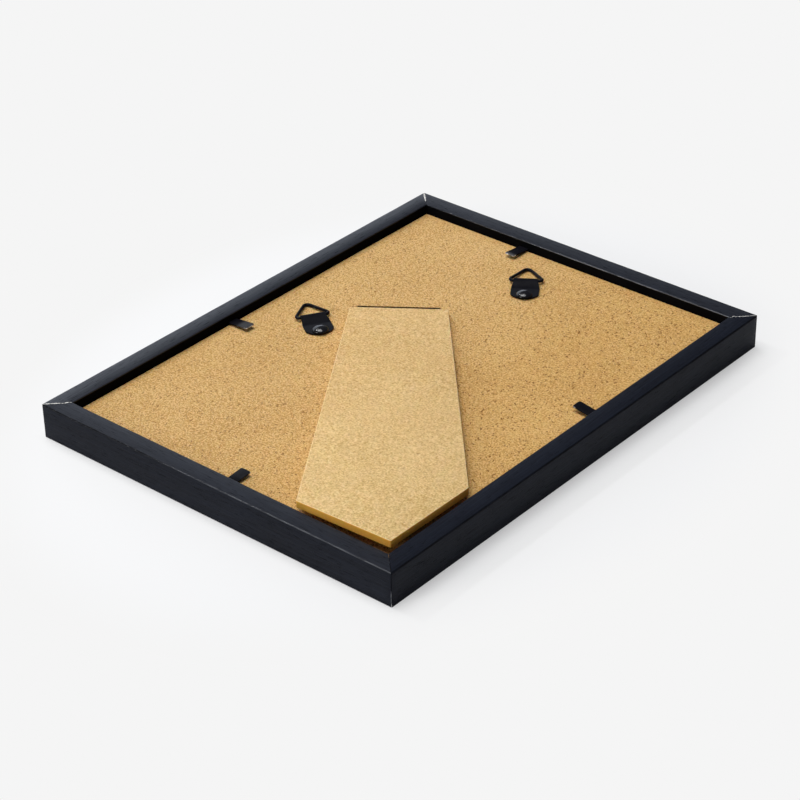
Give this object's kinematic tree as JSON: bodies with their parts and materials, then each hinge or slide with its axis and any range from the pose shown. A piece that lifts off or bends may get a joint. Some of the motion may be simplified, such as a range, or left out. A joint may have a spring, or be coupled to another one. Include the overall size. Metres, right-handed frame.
{
  "type": "easel back photo frame",
  "caption": "Easel back photo frame: mitred rails round a glazed rabbet, a fibreboard back held by flex tabs, a taped folding leg and swivel hangers with wire rings.",
  "frame": {"origin": "middle of the front face, which lies on the surface with the frame face down", "axes": "+X to the right of the back seen upright, +Y to the top of the frame, +Z from the front face to the back"},
  "size_m": [0.168, 0.218, 0.0163],
  "materials": {
    "black_painted_wood": "black paint over fine grain, satin",
    "tan_fibreboard": "raw fibreboard with dark specks",
    "pale_fibreboard": "raw smooth fibreboard",
    "black_lacquered_steel": "glossy black lacquer on sheet and wire",
    "bare_steel": "bright sheet steel",
    "clear_glass": "clear float glass",
    "white_paper": "plain white insert",
    "black_cloth_tape": "woven tape"
  },
  "bodies": {
    "frame": {"top_rail": "black_painted_wood", "bottom_rail": "black_painted_wood", "left_rail": "black_painted_wood", "right_rail": "black_painted_wood", "corner_nail_top_left": "bare_steel", "corner_nail_top_right": "bare_steel", "corner_nail_bottom_left": "bare_steel", "corner_nail_bottom_right": "bare_steel", "flex_tab_root_top": "black_lacquered_steel", "flex_tab_root_bottom": "black_lacquered_steel", "flex_tab_root_left": "black_lacquered_steel", "flex_tab_root_right": "black_lacquered_steel", "glazing": "clear_glass", "picture_insert": "white_paper", "backboard": "tan_fibreboard", "hinge_tape_root": "black_cloth_tape", "hanger_rivet_top": "black_lacquered_steel", "hanger_rivet_left": "black_lacquered_steel"},
    "leg": {"easel_leg": "pale_fibreboard", "hinge_tape_flap": "black_cloth_tape"},
    "hanger_top": {"hanger_strap_top": "black_lacquered_steel"},
    "ring_top": {"hanger_ring_top": "black_lacquered_steel"},
    "hanger_left": {"hanger_strap_left": "black_lacquered_steel"},
    "ring_left": {"hanger_ring_left": "black_lacquered_steel"},
    "tab_top": {"flex_tab_top": "black_lacquered_steel"},
    "tab_bottom": {"flex_tab_bottom": "black_lacquered_steel"},
    "tab_left": {"flex_tab_left": "black_lacquered_steel"},
    "tab_right": {"flex_tab_right": "black_lacquered_steel"}
  },
  "joints": [
    {"name": "leg_hinge", "type": "hinge", "parent": "frame", "child": "leg", "pos_m": [-0.0288, 0.02772, 0.0103], "axis": [-0.8135, -0.5816, 0], "range_deg": [-1, 60]},
    {"name": "hanger_swivel_top", "type": "hinge", "parent": "frame", "child": "hanger_top", "pos_m": [0.0002, 0.0699, 0.01015], "axis": [0, 0, 1], "continuous": true},
    {"name": "ring_hinge_top", "type": "hinge", "parent": "hanger_top", "child": "ring_top", "pos_m": [-0.00577, 0.07878, 0.01142], "axis": [0.83, 0.5577, 0], "range_deg": [0, 150]},
    {"name": "hanger_swivel_left", "type": "hinge", "parent": "frame", "child": "hanger_left", "pos_m": [-0.0442, -0.00108, 0.01015], "axis": [0, 0, 1], "range_deg": [-24, 115]},
    {"name": "ring_hinge_left", "type": "hinge", "parent": "hanger_left", "child": "ring_left", "pos_m": [-0.0532, 0.0047, 0.01142], "axis": [0.5402, 0.8415, 0], "range_deg": [0, 150]},
    {"name": "tab_bend_top", "type": "hinge", "parent": "frame", "child": "tab_top", "pos_m": [-0.0241, 0.1007, 0.01085], "axis": [-1, 0, 0], "range_deg": [0, 75]},
    {"name": "tab_bend_bottom", "type": "hinge", "parent": "frame", "child": "tab_bottom", "pos_m": [0.0019, -0.1007, 0.01085], "axis": [1, 0, 0], "range_deg": [0, 75]},
    {"name": "tab_bend_left", "type": "hinge", "parent": "frame", "child": "tab_left", "pos_m": [-0.0757, -0.017, 0.01085], "axis": [0, -1, 0], "range_deg": [0, 75]},
    {"name": "tab_bend_right", "type": "hinge", "parent": "frame", "child": "tab_right", "pos_m": [0.0757, 0.0156, 0.01085], "axis": [0, 1, 0], "range_deg": [0, 75]}
  ]
}
